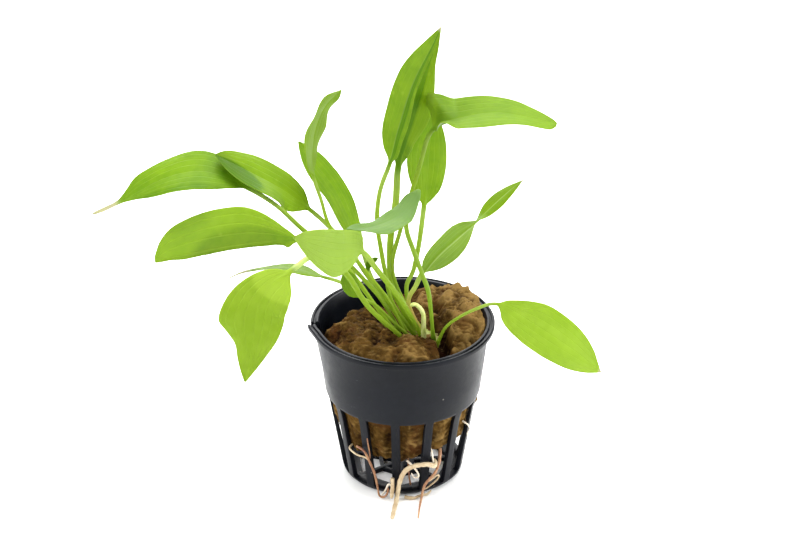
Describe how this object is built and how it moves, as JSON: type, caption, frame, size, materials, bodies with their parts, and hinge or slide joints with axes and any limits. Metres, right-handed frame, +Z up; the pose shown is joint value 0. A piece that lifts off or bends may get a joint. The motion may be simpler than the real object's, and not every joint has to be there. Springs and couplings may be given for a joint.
{
  "type": "potted aquatic plant",
  "caption": "Young broad-leaved sword plant on long stalks, rooted in mineral wool in a small slotted pot, with roots trailing from the slots.",
  "frame": {"origin": "centre of the pot's flat underside", "axes": "+Z up, -Y towards the side the plant is usually seen from, +X to the right from there"},
  "size_m": [0.1419, 0.0932, 0.1344],
  "materials": {
    "pot": "satin black, slightly blue",
    "wool": "rough brown-stained mineral fibre",
    "crown": "pale green-brown plant base",
    "leaf": "fresh yellow-green, smooth, lets light through",
    "old_stalk": "pale yellow-green, smooth",
    "root": "pale straw brown, smooth"
  },
  "bodies": {
    "root": {"net_pot": "pot", "rockwool_plug": "wool", "crown": "crown", "leaf_far_left": "leaf", "leaf_upper_left": "leaf", "leaf_mid_left": "leaf", "leaf_front_pale": "leaf", "leaf_front_grey": "leaf", "leaf_upright_left": "leaf", "leaf_dark_left": "leaf", "leaf_top_front": "leaf", "leaf_top_rear": "leaf", "leaf_right_folded": "leaf", "leaf_rear": "leaf", "leaf_twisted_right": "leaf", "leaf_low_right": "leaf", "leaf_hanging_front": "leaf", "leaf_thin_left": "leaf", "leaf_small": "leaf", "leaf_young": "leaf", "bent_stalk": "old_stalk", "root_thick": "root", "root_orange": "root", "root_brown": "root", "root_base": "root", "root_curl": "root", "root_upright": "root"}
  },
  "joints": []
}
